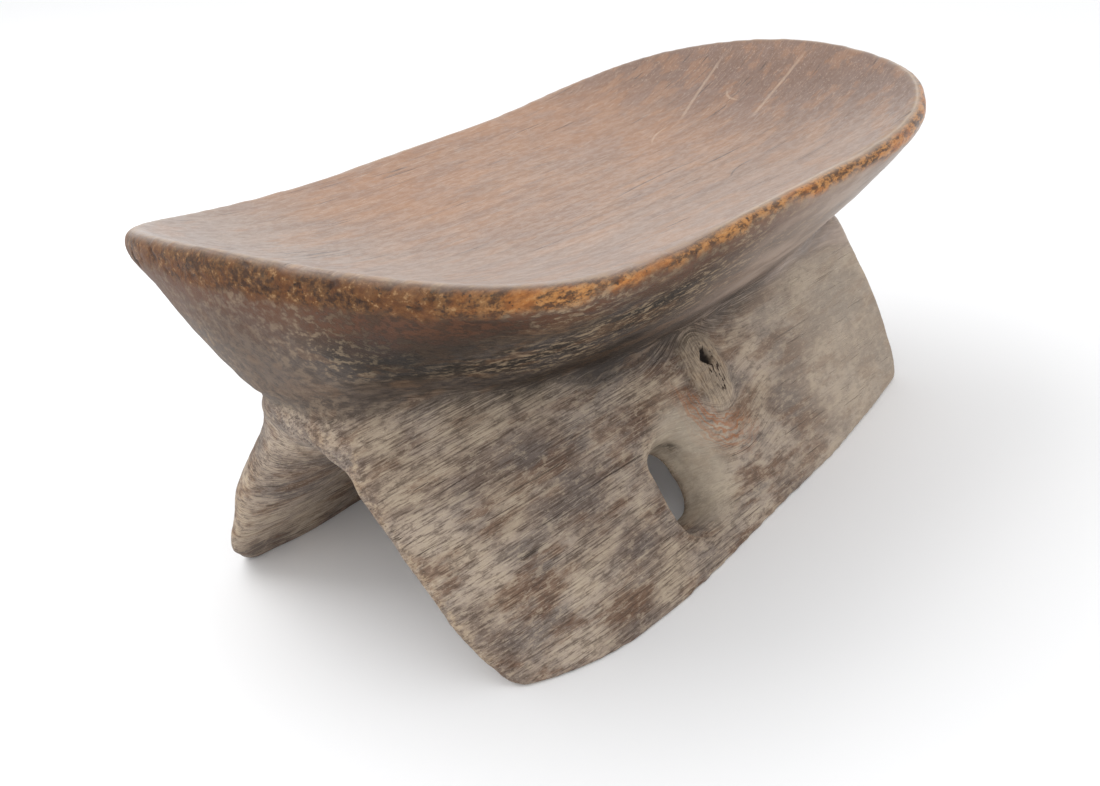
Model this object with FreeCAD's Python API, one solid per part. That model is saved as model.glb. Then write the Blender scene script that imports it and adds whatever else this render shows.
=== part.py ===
import FreeCAD, Part
import math
import os

os.makedirs("parts", exist_ok=True)

# A one-block carved wooden headrest. The block is split into the members a carver works
# through: dished seat plate, boat-shaped hull under it, waist, two splayed legs and the
# branch knot in the front leg. +X runs along the seat, -Y is the front, +Z is up,
# the soles stand on z = 0. Lengths are in millimetres, angles in degrees.

# ---- seat ----
SEAT_LENGTH = 408.0
SEAT_FRONT = 114.0        # half width towards the front
SEAT_BACK = 109.0         # half width towards the back
END_BLUNTNESS = 6.0       # exponent along the length, higher is squarer
SIDE_FULLNESS = 1.85      # exponent across the width
RIM_HEIGHT = 152.5        # crest of the rim at mid length
RISE_LEFT = 29.0          # how far the rim climbs at each end
RISE_RIGHT = 26.0
RISE_POWER = 3.46
DISH_DEPTH = 12.0
SEAT_OFFSET = 11.0        # the seat sits a little behind the base
SEAT_SKEW = 1.8
SEAT_TILT = -2.4
PLATE_MID = 8.0           # height of the rim band at mid length and at the ends
PLATE_END = 13.0
RIM_ROUND = 4.0
DISH_MARGIN = 1.13        # the dish surface runs this much past the seat's ends
TOP_FACE_AREA = 30000.0   # only the dished top and the flare are larger, in square mm

# ---- hull under the seat ----
KEEL_LEFT = -184.0        # ends of the crease loop
KEEL_RIGHT = 171.0
HULL_SWELL = 3.0          # how far the flare bulges past a straight side
HULL_LEVELS = (76, 92, 108, 124, 140, 156, 172, 190)
FLARE_OVERSIZE = 1.004    # the flare starts this much too wide and is trimmed to the rim
CREASE_BLUNTNESS, CREASE_FULLNESS = 8.0, 3.5
TUCK_IN = (0.06, 0.3)     # how fast the hull closes below the crease, along and across
CREASE_HEIGHT = [(-190, 114), (-150, 109), (-110, 98), (-60, 87), (0, 82), (60, 82), (110, 85), (175, 95)]
WAIST_HALF = [(-190, 17), (-150, 29), (-110, 36), (-60, 38), (60, 38), (175, 36)]
NECK_TAPER = [(-190, 9), (-160, 3), (-140, 0), (-100, 0), (175, 0)]   # taken off the back of the base

# ---- base ----
GROUND_SINK = 4.0         # the legs start this far below the ground, which then cuts their soles flat
FRONT_FOOT = [(-190, 62), (-155, 83), (-120, 98), (-75, 101.5), (0, 94.5), (100, 84), (190, 67)]
BACK_FOOT = [(-190, 68), (-155, 84), (-120, 98), (-75, 104), (0, 99), (100, 89), (190, 72)]
FRONT_THICKNESS = [(-190, 2), (-160, 4), (-125, 22), (-75, 28), (0, 27), (100, 25), (190, 20)]
BACK_THICKNESS = [(-190, 3), (-154, 7), (-136, 20), (-75, 27), (0, 27), (100, 25), (190, 20)]
TUNNEL_HEIGHT = [(-190, 103), (-165, 94), (-130, 79), (-90, 70), (-40, 66), (60, 64), (120, 68), (160, 77),
                 (190, 84)]
TUNNEL_POWER = 1.6        # 1 is a sharp V, 2 is a round arch
TUNNEL_MARGIN = 1.06      # the arch opens this much wider than the soles' inner edges
BASE_OVERLAP = 20.0       # the base is drawn this far above the crease, then cut at it
CORE_HALF = 14.0          # the waist is this far either side of the middle
LEFT_END = [(-148, -5), (-152, 0), (-160, 13), (-168, 38), (-173, 60), (-176, 88), (-180, 125)]
RIGHT_END = [(159, 125), (165, 95), (184, 14), (182, 4), (175, -5)]

# ---- window through the front leg, and the knot above it ----
FACE_LEAN = 36.2          # lean of the front leg's face from upright
WINDOW_X, WINDOW_Z = -28.0, 34.5
WINDOW_MOUTH = (20.0, 23.0)   # half sizes where it opens at the front
WINDOW_THROAT = (14.0, 16.0)  # half sizes where it breaks into the tunnel
KNOT_X, KNOT_Z = 19.0, 61.0
KNOT_HALF = (13.0, 20.0)
KNOT_DEPTH = 17.0
KNOT_PROUD = 1.5

CLEAR = 300.0             # cutting blocks reach this far, well past the object

V = FreeCAD.Vector
HALF = SEAT_LENGTH / 2


def smooth(stations):
    """A smooth curve through (x, value) stations, level with the end slopes outside them."""
    xs = [p[0] for p in stations]
    ys = [p[1] for p in stations]
    slopes = []
    for i in range(len(xs)):
        a, b = max(i - 1, 0), min(i + 1, len(xs) - 1)
        slopes.append((ys[b] - ys[a]) / (xs[b] - xs[a]))

    def value(x):
        i = 0
        while i < len(xs) - 2 and x > xs[i + 1]:
            i += 1
        h = xs[i + 1] - xs[i]
        t = min(max((x - xs[i]) / h, 0.0), 1.0)
        past = x - min(max(x, xs[0]), xs[-1])
        curve = ((1 + 2 * t) * (1 - t) ** 2 * ys[i] + t * (1 - t) ** 2 * h * slopes[i]
                 + t * t * (3 - 2 * t) * ys[i + 1] + t * t * (t - 1) * h * slopes[i + 1])
        return curve + past * slopes[0 if past < 0 else -1]
    return value


crease_height, waist_half = smooth(CREASE_HEIGHT), smooth(WAIST_HALF)
front_foot, back_foot = smooth(FRONT_FOOT), smooth(BACK_FOOT)
front_thickness, back_thickness = smooth(FRONT_THICKNESS), smooth(BACK_THICKNESS)
neck_taper, tunnel_height = smooth(NECK_TAPER), smooth(TUNNEL_HEIGHT)


def reach(angle, p, q):
    """Unit blunt oval |x|^p + |y|^q = 1 in the direction of an angle."""
    c, s = abs(math.cos(angle)), abs(math.sin(angle))
    low, high = 0.5, 1.5
    for _ in range(50):
        mid = (low + high) / 2
        low, high = (mid, high) if (mid * c) ** p + (mid * s) ** q < 1 else (low, mid)
    return low * math.cos(angle), low * math.sin(angle)


def closed_curve(points):
    curve = Part.BSplineCurve()
    curve.interpolate(Points=points, PeriodicFlag=True)
    return Part.Wire(curve.toShape())


def open_curve(points):
    curve = Part.BSplineCurve()
    curve.interpolate(points)
    return curve.toShape()


def seat_to_row(x, y, z):
    g = math.radians(SEAT_SKEW)
    return V(x * math.cos(g) - y * math.sin(g), x * math.sin(g) + y * math.cos(g) + SEAT_OFFSET, z)


def rim_height(x, y):
    rise = RISE_LEFT if x < 0 else RISE_RIGHT
    return RIM_HEIGHT + rise * abs(x / HALF) ** RISE_POWER + y * math.tan(math.radians(SEAT_TILT))


def plate_thickness(x):
    return PLATE_MID + (PLATE_END - PLATE_MID) * min(abs(x / HALF), 1.15) ** 3


def dish_height(x, y):
    side = SEAT_BACK if y > 0 else SEAT_FRONT
    hollow = 1 - abs(x / HALF) ** END_BLUNTNESS - abs(y / side) ** SIDE_FULLNESS
    return rim_height(x, y) - DISH_DEPTH * hollow


def above_dish(drop):
    """Everything above the dished seat surface, lowered by a share of the plate thickness."""
    rows = []
    for i in range(33):
        x = HALF * DISH_MARGIN * math.sin(math.pi / 2 * (i / 16 - 1))
        rows.append([seat_to_row(x, y, dish_height(x, y) - drop * plate_thickness(x))
                     for y in [-150 + 300 * j / 24 for j in range(25)]])
    surface = Part.BSplineSurface()
    surface.interpolate(rows)
    return surface.toShape().extrude(V(0, 0, CLEAR / 2))


TURNS = [2 * math.pi * (i + 0.5) / 56 for i in range(56)]


def rim_point(angle, inset=1.0):
    u, v = reach(angle, END_BLUNTNESS, SIDE_FULLNESS)
    x, y = u * HALF * inset, v * (SEAT_BACK if v > 0 else SEAT_FRONT) * inset
    return x, y


def crease_point(angle):
    u, v = reach(angle, CREASE_BLUNTNESS, CREASE_FULLNESS)
    x = (KEEL_LEFT + KEEL_RIGHT) / 2 + u * (KEEL_RIGHT - KEEL_LEFT) / 2
    return V(x, v * waist_half(x), crease_height(x))


def hull_section(level):
    points = []
    for angle in TURNS:
        x, y = rim_point(angle, FLARE_OVERSIZE)
        top = seat_to_row(x, y, rim_height(x, y) - plate_thickness(x))
        low = crease_point(angle)
        s = (level - low.z) / (top.z - low.z)
        p = low + (top - low) * s if s > 0 else V(low.x * (1 + TUCK_IN[0] * s), low.y * (1 + TUCK_IN[1] * s), level)
        if 0 < s < 1:
            out = V(top.x - low.x, top.y - low.y, 0)
            out.normalize()
            p = p + out * (HULL_SWELL * 4 * s * (1 - s))
        points.append(V(p.x, p.y, level))
    return closed_curve(points)


def make_upper():
    flare = Part.makeLoft([hull_section(z) for z in HULL_LEVELS], True, False)
    rim = closed_curve([seat_to_row(*rim_point(a + 1.3), 60) for a in TURNS])
    prism = Part.Face(rim).extrude(V(0, 0, 160))
    body = flare.common(prism).cut(above_dish(0))
    crest = max([f for f in body.Faces if f.Area > TOP_FACE_AREA], key=lambda f: f.CenterOfMass.z)
    return body.makeFillet(RIM_ROUND, crest.OuterWire.Edges)


def keel_block():
    """Everything above the crease, a sheet that follows its height along the length."""
    xs = [-260 + 40 * i for i in range(14)]
    edge = open_curve([V(x, -CLEAR, crease_height(x)) for x in xs])
    roof = [V(xs[-1], -CLEAR, CLEAR), V(xs[0], -CLEAR, CLEAR)]
    ends = [V(xs[-1], -CLEAR, crease_height(xs[-1]))] + roof + [V(xs[0], -CLEAR, crease_height(xs[0]))]
    wire = Part.Wire([edge] + [Part.makeLine(ends[i], ends[i + 1]) for i in range(3)])
    return Part.Face(wire).extrude(V(0, 2 * CLEAR, 0))


STATIONS = [-200, -175, -150, -120, -90, -55, -20, 20, 60, 100, 140, 170, 200]


def base_section(x):
    top = crease_height(x) + BASE_OVERLAP
    grow = BASE_OVERLAP / crease_height(x)
    front, back, w = front_foot(x), back_foot(x), waist_half(x)
    thin = w - neck_taper(x)
    sink = GROUND_SINK / crease_height(x)
    corners = [V(x, -front - (front - w) * sink, -GROUND_SINK), V(x, back + (back - thin) * sink, -GROUND_SINK),
               V(x, thin - (back - thin) * grow, top), V(x, -w + (front - w) * grow, top)]
    return Part.makePolygon(corners + corners[:1])


def tunnel_section(x):
    points = []
    for i in range(-7, 8):
        a = TUNNEL_MARGIN * math.copysign(abs(i / 7) ** 1.3, i)
        half = front_foot(x) - front_thickness(x) if a < 0 else back_foot(x) - back_thickness(x)
        points.append(V(x, a * half, tunnel_height(x) * (1 - abs(a) ** TUNNEL_POWER)))
    return Part.Wire([open_curve(points), Part.makeLine(points[-1], points[0])])


def side_outline():
    left = open_curve([V(x, -CLEAR, z) for x, z in LEFT_END])
    right = open_curve([V(x, -CLEAR, z) for x, z in RIGHT_END])
    top = Part.makeLine(left.Vertexes[-1].Point, right.Vertexes[0].Point)
    low = Part.makeLine(right.Vertexes[-1].Point, left.Vertexes[0].Point)
    return Part.Face(Part.Wire([left, top, right, low])).extrude(V(0, 2 * CLEAR, 0))


def face_frame(x, z):
    """Point on the front leg's face with the directions up the slope and into the wood."""
    lean = math.radians(FACE_LEAN)
    share = 1 - z / crease_height(x)
    origin = V(x, -waist_half(x) - (front_foot(x) - waist_half(x)) * share, z)
    return origin, V(0, math.sin(lean), math.cos(lean)), V(0, math.cos(lean), -math.sin(lean))


def oval(origin, up, inward, depth, shift, half, power=2.6):
    points = []
    for i in range(20):
        c, s = math.cos(2 * math.pi * i / 20), math.sin(2 * math.pi * i / 20)
        r = (abs(c) ** power + abs(s) ** power) ** (-1 / power)
        points.append(origin + V(1, 0, 0) * (shift[0] + half[0] * r * c)
                      + up * (shift[1] + half[1] * r * s) + inward * depth)
    return closed_curve(points)


def make_window():
    o, up, inward = face_frame(WINDOW_X, WINDOW_Z)
    (mx, mz), (tx, tz) = WINDOW_MOUTH, WINDOW_THROAT
    rings = [(-16, (3, -4), (mx + 1, mz + 2)), (0, (3, -6), (mx, mz)),
             (10, (1, -3), ((mx + tx) / 2, (mz + tz) / 2)), (24, (0, -1), (tx, tz)),
             (46, (0, 0), (tx + 1, tz + 1))]
    return Part.makeLoft([oval(o, up, inward, d, shift, half, 3.4) for d, shift, half in rings], True, False)


def make_knot():
    o, up, inward = face_frame(KNOT_X, KNOT_Z)
    rings = [(-KNOT_PROUD, 0.9), (0.5, 1.0), (KNOT_DEPTH * 0.5, 0.9), (KNOT_DEPTH, 0.6)]
    loft = [oval(o, up, inward, d, (0, 0), (KNOT_HALF[0] * k, KNOT_HALF[1] * k), 2.2) for d, k in rings]
    return Part.makeLoft(loft, True, False)


upper = make_upper()
plate_tool = above_dish(1)
seat_plate = upper.common(plate_tool)
seat_hull = upper.cut(plate_tool).common(keel_block())

block = Part.makeLoft([base_section(x) for x in STATIONS], True, False)
tunnel = Part.makeLoft([tunnel_section(x) for x in STATIONS], True, False)
base = block.common(side_outline()).cut(keel_block()).cut(tunnel)
base = base.common(Part.makeBox(2 * CLEAR, 2 * CLEAR, CLEAR, V(-CLEAR, -CLEAR, 0)))
knot = make_knot()
slabs = [(-CLEAR, -CORE_HALF), (-CORE_HALF, CORE_HALF), (CORE_HALF, CLEAR)]
front_leg, waist, back_leg = [
    base.common(Part.makeBox(2 * CLEAR, hi - lo, CLEAR, V(-CLEAR, lo, 0))) for lo, hi in slabs]
front_leg = front_leg.cut(make_window()).cut(knot)

nodes = {"seat_plate": seat_plate, "seat_hull": seat_hull, "waist": waist,
         "front_leg": front_leg, "back_leg": back_leg, "branch_knot": knot}


def extent(shapes):
    """Tight limits, measured on a fine mesh of the shapes."""
    points = [p for shape in shapes for p in shape.tessellate(0.2)[0]]
    return [(min(p[k] for p in points), max(p[k] for p in points)) for k in range(3)]


(x0, x1), (y0, y1), (z0, z1) = extent(nodes.values())
centre = V(-(x0 + x1) / 2, -(y0 + y1) / 2, -z0)
for name, shape in nodes.items():
    solids = sorted(shape.Solids, key=lambda s: -s.Volume)
    solid = solids[0]
    solid.translate(centre)
    solid.exportStep("parts/%s.step" % name)
    print(name, "solids", len(solids), "valid", solid.isValid(), "volume cm3", round(solid.Volume / 1000, 1),
          "extent", [[round(v, 1) for v in side] for side in extent([solid])])
print("moved by", [round(v, 2) for v in centre])
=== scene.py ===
import bpy
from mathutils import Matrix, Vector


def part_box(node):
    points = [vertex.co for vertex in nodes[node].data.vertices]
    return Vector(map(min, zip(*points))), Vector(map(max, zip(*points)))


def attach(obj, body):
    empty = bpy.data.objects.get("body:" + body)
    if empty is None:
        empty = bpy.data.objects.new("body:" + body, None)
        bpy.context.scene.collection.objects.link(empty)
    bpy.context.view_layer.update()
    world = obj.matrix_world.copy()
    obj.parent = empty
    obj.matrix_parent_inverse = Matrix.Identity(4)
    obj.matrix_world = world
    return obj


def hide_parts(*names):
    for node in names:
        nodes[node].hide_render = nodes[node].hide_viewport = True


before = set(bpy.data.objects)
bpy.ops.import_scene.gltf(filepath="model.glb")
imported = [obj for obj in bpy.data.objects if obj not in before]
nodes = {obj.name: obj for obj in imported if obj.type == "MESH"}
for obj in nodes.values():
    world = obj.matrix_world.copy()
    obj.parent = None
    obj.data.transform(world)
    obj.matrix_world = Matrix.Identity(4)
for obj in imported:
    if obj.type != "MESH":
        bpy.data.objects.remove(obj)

# The start-up scene's own objects would count in the boxes, so they go first.
for name in ("Cube", "Light", "Camera"):
    if name in bpy.data.objects:
        bpy.data.objects.remove(bpy.data.objects[name])
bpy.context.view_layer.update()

# %% [markdown]
# This headrest is carved from one block of hard wood. The CAD model splits the block into
# its members, so their meshes already stand in the right place. Here the members are
# merged into one skin, the skin is worked like wood, and then it is sawn back into the
# same members. That order is chosen because a carver's tool marks run over every border.

# %% Tools and units
import math

import bmesh
import numpy as np
from mathutils import Matrix, Vector
from mathutils.bvhtree import BVHTree

MM = 0.001
print("members:", sorted(nodes))

# %% [markdown]
# A voxel remesh walks a fine grid through the merged members and lays one closed skin of
# even squares over them. Even squares matter: the smoothing and the tool marks below move
# points, and they look the same everywhere only where the points are evenly spread.

# %% Merge the members into one skin
SKIN_STEP = 1.3 * MM


def new_object(name, mesh):
    piece = bpy.data.objects.new(name, mesh)
    bpy.context.scene.collection.objects.link(piece)
    return piece


def merged_copy(names):
    """One mesh with copies of CAD nodes, their loose triangles joined at the corners."""
    shape = bmesh.new()
    for name in names:
        part = bmesh.new()
        part.from_mesh(nodes[name].data)
        bmesh.ops.remove_doubles(part, verts=part.verts, dist=0.001 * MM)
        held = bpy.data.meshes.new("held")
        part.to_mesh(held)
        part.free()
        shape.from_mesh(held)
        bpy.data.meshes.remove(held)
    mesh = bpy.data.meshes.new("merged")
    shape.to_mesh(mesh)
    shape.free()
    return mesh


def apply_modifiers(piece):
    """Bakes the modifiers into the mesh, so that the points can be worked by hand."""
    graph = bpy.context.evaluated_depsgraph_get()
    mesh = bpy.data.meshes.new_from_object(piece.evaluated_get(graph))
    piece.modifiers.clear()
    piece.data = mesh
    return piece


block = new_object("block", merged_copy(sorted(nodes)))
remesh = block.modifiers.new("skin", "REMESH")
remesh.mode = "VOXEL"
remesh.voxel_size = SKIN_STEP
apply_modifiers(block)
print("skin points:", len(block.data.vertices))

# %% [markdown]
# The work on the skin is done with arrays, which is much faster than one point at a time.
# Two helpers do most of it. One is a smooth random field, used for everything that a hand
# makes uneven. The other moves each point towards its neighbours, as sanding does.

# %% Random field and sanding


def ramp(value, low, high):
    """0 below low, 1 above high, and a smooth step between."""
    t = np.clip((value - low) / (high - low), 0, 1)
    return t * t * (3 - 2 * t)


def field(points, size, seed):
    """A smooth random value from -1 to 1 with features about size wide; size may differ by axis."""
    scaled = points / np.array(size, float) + seed * 17.31
    cell = np.floor(scaled).astype(np.int64)
    part = scaled - cell
    part = part * part * (3 - 2 * part)
    total = np.zeros(len(points))
    for corner in np.ndindex(2, 2, 2):
        key = (cell + corner) @ np.array([73856093, 19349663, 83492791])
        key = ((key ^ (key >> 13)) * 1274126177) & 0x7FFFFFFF
        key = ((key ^ (key >> 15)) * 668265263) & 0x7FFFFFFF
        weight = np.prod(np.where(corner, part, 1 - part), axis=1)
        total += weight * ((key & 0xFFFF) / 32767.5 - 1)
    return total


def edge_pairs(mesh):
    """The two point numbers of every edge."""
    pairs = np.empty(len(mesh.edges) * 2, np.int32)
    mesh.edges.foreach_get("vertices", pairs)
    return pairs.reshape(-1, 2)


def neighbour_mean(values, pairs, count):
    """The mean of each point's neighbours; values has one row per point."""
    share = np.bincount(pairs.ravel(), minlength=count)[:, None]
    total = np.stack([np.bincount(pairs[:, 0], values[pairs[:, 1], k], count)
                      + np.bincount(pairs[:, 1], values[pairs[:, 0], k], count)
                      for k in range(values.shape[1])], axis=1)
    return total / np.maximum(share, 1)


def sand(points, pairs, mask, passes):
    """Moves points towards their neighbours' mean, as far as the mask allows."""
    for _ in range(passes):
        points = points + (neighbour_mean(points, pairs, len(points)) - points) * (0.6 * mask[:, None])
    return points


def normals_of(mesh, points):
    """Puts the points on the mesh and returns the direction that the skin faces at each."""
    mesh.vertices.foreach_set("co", (points * MM).ravel().astype(np.float32))
    mesh.update()
    normals = np.empty(len(points) * 3, np.float32)
    mesh.vertex_normals.foreach_get("vector", normals)
    return normals.reshape(-1, 3).astype(float)


skin = block.data
count = len(skin.vertices)
points = np.empty(count * 3, np.float32)
skin.vertices.foreach_get("co", points)
points = points.reshape(-1, 3).astype(float) / MM
pairs = edge_pairs(skin)
print("edges:", len(pairs))

# %% [markdown]
# Places on the carving are read from the frame. The rim is found by looking round the seat
# plate in small turns and keeping the outermost and highest point of each. The knot's place
# is its node's box, and the saw cuts between the legs and the waist are the waist's sides.

# %% Where the rim, the knot and the waist are
TURNS = 180


def plan_angle(points, centre, half):
    """Turn and reach of each point in the seat's plan, with the plan squashed to a circle."""
    across = (points[:, :2] - centre) / half
    return np.arctan2(across[:, 1], across[:, 0]), np.hypot(across[:, 0], across[:, 1])


def node_points(name):
    mesh = nodes[name].data
    found = np.empty(len(mesh.vertices) * 3, np.float32)
    mesh.vertices.foreach_get("co", found)
    return found.reshape(-1, 3).astype(float) / MM


plate = node_points("seat_plate")
seat_low, seat_high = plate.min(0), plate.max(0)
seat_centre = (seat_low[:2] + seat_high[:2]) / 2
seat_half = (seat_high[:2] - seat_low[:2]) / 2
turn, far = plan_angle(plate, seat_centre, seat_half)
slot_of = ((turn + math.pi) / (2 * math.pi) * TURNS).astype(int) % TURNS
rim_reach = np.array([far[slot_of == k].max() for k in range(TURNS)])
rim_crest = np.array([plate[slot_of == k, 2].max() for k in range(TURNS)])
turn_middles = (np.arange(TURNS) + 0.5) / TURNS * 2 * math.pi - math.pi


def round_the_rim(values, turn):
    return np.interp(turn, turn_middles, values, period=2 * math.pi)


def rim_place(points):
    """How far each point is inside the rim's outline and below its crest, in mm."""
    turn, far = plan_angle(points, seat_centre, seat_half)
    span = np.hypot(np.cos(turn) * seat_half[0], np.sin(turn) * seat_half[1])
    return (round_the_rim(rim_reach, turn) - far) * span, round_the_rim(rim_crest, turn) - points[:, 2]


waist_low, waist_high = [np.array(corner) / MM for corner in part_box("waist")]
knot_low, knot_high = [np.array(corner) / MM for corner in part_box("branch_knot")]
knot_centre = (knot_low + knot_high) / 2 + np.array([0, -8, 6])
LEG_LEAN = math.radians(36.2)
UP_SLOPE = np.array([0, math.sin(LEG_LEAN), math.cos(LEG_LEAN)])
INTO_LEG = np.array([0, math.cos(LEG_LEAN), -math.sin(LEG_LEAN)])
print("rim crest, mm:", rim_crest.min().round(1), "to", rim_crest.max().round(1))
print("knot centre, mm:", knot_centre.round(1))

# %% [markdown]
# Sanding comes first. A light pass rounds every edge a little, as handling does. Then the
# hollows, such as the crease under the hull and the neck at the left end, get many more
# passes, because a curved blade can't leave a sharp inside corner. How hollow a place is
# comes from how far its neighbours stand out along its normal.

# %% Round the edges and fill the hollows
LIGHT_PASSES = 10
DEEP_PASSES = 60
EDGE_PASSES = 16
WINDOW_PASSES = 260


def hollowness(points, pairs, passes):
    """Mean distance of the neighbours along the normal, blurred: positive where the skin is hollow."""
    normals = normals_of(skin, points)
    lift = np.sum((neighbour_mean(points, pairs, len(points)) - points) * normals, axis=1)[:, None]
    for _ in range(passes):
        lift = neighbour_mean(lift, pairs, len(points))
    return lift[:, 0]


points = sand(points, pairs, np.ones(count), LIGHT_PASSES)
hollow = ramp(hollowness(points, pairs, 8), 0.01, 0.05)
left_end = ramp(-points[:, 0], 135, 172) * ramp(points[:, 2], 20, 60) * ramp(-points[:, 2], -122, -112)
points = sand(points, pairs, np.clip(hollow * 0.8 + left_end, 0, 1), DEEP_PASSES)
edges = ramp(-hollowness(points, pairs, 2), 0.02, 0.07)
points = sand(points, pairs, edges, EDGE_PASSES)
print("sanded; deep places:", int((hollow > 0.5).sum()), "edge places:", int((edges > 0.5).sum()))

# %% [markdown]
# The window through the front leg has two different sides. Its left edge is crisp. Its
# right side and its top were scooped away with a curved blade, so the face of the leg rolls
# into the hole with no edge at all. Only the outer part of the wall is sanded here, because
# the thin slit at the back of the scoop has to keep its width.

# %% Roll the face into the window
WINDOW_MIDDLE = np.array([-28.0, -83.0, 34.5])
WINDOW_REACH = (27, 36)


def face_place(points, middle):
    """Across, up the slope and into the front leg, measured from a middle on its face, in mm."""
    away = points - middle
    return away[:, 0], away @ UP_SLOPE, away @ INTO_LEG


def sand_locally(points, chosen, mask, passes):
    """Sands only the chosen points, so that many passes stay quick."""
    order = np.full(len(points), -1)
    order[chosen] = np.arange(len(chosen))
    local = order[pairs]
    local = local[(local >= 0).all(axis=1)]
    points[chosen] = sand(points[chosen], local, mask, passes)
    return points


across, up, depth = face_place(points, WINDOW_MIDDLE)
on_the_face = (np.hypot(across, up) < 40) & (points[:, 1] < -60)
print("face level at the window, mm:", np.percentile(depth[on_the_face], 5).round(1))
near = np.flatnonzero((np.abs(across - 6) < 45) & (np.abs(up - 4) < 55) & (points[:, 1] < -30))
across, up, depth = across[near], up[near], depth[near]
wide = ramp(-np.hypot((across - 6) / WINDOW_REACH[0], (up - 6) / WINDOW_REACH[1]), -1.25, -0.85)
crisp_side = ramp(across + 0.25 * up, -17, -9)
outer_wall = ramp(-depth, -13, -6)
points = sand_locally(points, near, wide * crisp_side * outer_wall, WINDOW_PASSES)
print("points rolled:", len(near))

# %% [markdown]
# At the left end the hull runs down through the neck into the back foot in one hollow
# sweep, with no lip where the arch begins. The arch's back rim is therefore sanded away,
# and the foot is swelled outwards again, since sanding thins it.

# %% Sweep the neck into the back foot
NECK_PASSES = 900
NECK_SWELL = 4.5
FOOT_SWELL = 9.5
near = np.flatnonzero((points[:, 0] < -72) & (points[:, 2] < 118) & (points[:, 1] > -48))
x, y, z = points[near].T
mask = ramp(-x, 74, 120) * ramp(y, -38, -22) * ramp(-z, -112, -98) * ramp(z, 10, 46)
points = sand_locally(points, near, mask, NECK_PASSES)
points[near] += normals_of(skin, points)[near] * (NECK_SWELL * mask * ramp(-x, 110, 140))[:, None]
x, y, z = points[near].T
foot = ramp(-x, 118, 150) * ramp(y, 2, 22) * ramp(-z, -90, -50) * (0.15 + 0.85 * ramp(z, -2, 24))
points[near, 0] -= FOOT_SWELL * foot
print("neck points swept:", len(near))

# %% [markdown]
# Now the hand of the carver: slow waves over everything, longer ones along the grain, and
# shallow blade marks on the hull and the legs. The seat was polished by use, so its marks
# are nearly gone. The rim is bitten by small pits, most of them at the left end, where the
# end grain is open.

# %% Waves, blade marks and rim pits
inside, below = rim_place(points)
normals = normals_of(skin, points)
on_top = ramp(inside, 1.5, 7) * ramp(normals[:, 2], 0.35, 0.6) * ramp(points[:, 2], 112, 122)
band_depth = 8 + 5 * ramp(np.abs(points[:, 0] - 20), 60, 190)
on_band = ramp(-below, -band_depth - 3, -band_depth + 1) * (1 - on_top) * ramp(-inside, -16, -10)
waves = 0.9 * field(points, (90, 60, 60), 1) + 0.4 * field(points, (34, 20, 20), 2)
marks = 0.22 * field(points, (16, 7, 7), 3) + 0.12 * field(points, (6, 3.2, 3.2), 4)
pit_noise = field(points, (4.5, 2.6, 2.0), 5) + 0.6 * field(points, (9, 5, 4), 6)
end_grain = ramp(-points[:, 0], 150, 195)
pits = ramp(pit_noise, 0.5 - 0.2 * end_grain, 1.2) * on_band * (0.35 + 0.8 * end_grain)
push = waves * (1 - 0.55 * on_top) + marks * (1 - 0.85 * on_top) - 0.8 * pits
points = points + normals * push[:, None]
print("waves up to", np.abs(waves).max().round(2), "mm; pitted points:", int((pits > 0.3).sum()))

# %% [markdown]
# The knot is a dead branch stub that the leg's wood grew round. It was cut level with the
# face long ago, so it stands only a little proud and its border is hardly a line. Drying
# opened a small hole near its top. Finer cracks come later, in the knot's finish. A second
# small pit, from the same kind of decay, is in the end of the back foot.

# %% Shape the knot
across, up, depth = face_place(points, knot_centre)
on_face = ramp(-np.abs(depth), -16, -9) * ramp(-points[:, 1], 26, 32)
reach = np.sqrt((across / 14.5) ** 2 + (up / 21) ** 2)
swelling = 1.0 * np.exp(-(reach / 1.2) ** 2) + 0.5 * field(points, (8, 9, 9), 8) * ramp(-reach, -1.3, -0.9)
groove = np.exp(-((reach - 1.0) / 0.08) ** 2) * ramp(-across - 0.6 * up, 2, 16)
foot_pit = np.linalg.norm((points - np.array([-177.0, 42.0, 37.0])) / np.array([9.0, 2.6, 3.4]), axis=1)
hole = ramp(-np.hypot(across - 2.5, (up - 5) * 0.75) - 1.1 * field(points, (3.5, 3, 3), 9), -4.0, -1.9)
work = normals_of(skin, points)
hole = hole * on_face + 0.6 * ramp(-foot_pit - 0.3 * field(points, (3, 3, 3), 15), -1.2, -0.6)
points = points + work * ((swelling - 0.5 * groove) * on_face - 3.2 * hole)[:, None]
points[:, 2] = np.maximum(points[:, 2], 0)
print("deepest hole push:", (3.2 * hole).max().round(2), "mm")

# %% [markdown]
# Stain and wear are painted as values on the points, and so are painted light and shade: how polished,
# how golden, how hollow (dirt and painted shade), how rubbed (wear and a painted edge highlight), and where
# the window's scoop is painted lighter. The materials read these values, so a finish follows the form.
# The direction of the grain is stored the same way. It runs along the length and bends
# round the knot, as water bends round a stone.

# %% Paint the masks on the skin
inside, below = rim_place(points)
normals = normals_of(skin, points)
on_top = ramp(inside, 1.0, 6.5) * ramp(normals[:, 2], 0.35, 0.62) * ramp(points[:, 2], 112, 122)
ragged = 2.2 * field(points, (14, 9, 6), 11) + 1.2 * field(points, (5, 4, 3), 12)
band = 3.6 + 9 * ramp(-points[:, 0], 95, 190) + 6 * ramp(points[:, 0], 20, 140)
side = (1 - on_top) * ramp(-inside, -26, -12)
gold = ramp(-(below + ragged), -band - 3, -band + 2) * side
blush = ramp(-(below + 2 * ragged), -band - 26, -band - 2) * side
# How hollow each place is; below it darkens the hollows as dirt and painted shade.
hollow = np.clip(ramp(hollowness(points, pairs, 5), 0.004, 0.05), 0, 1)
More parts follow.
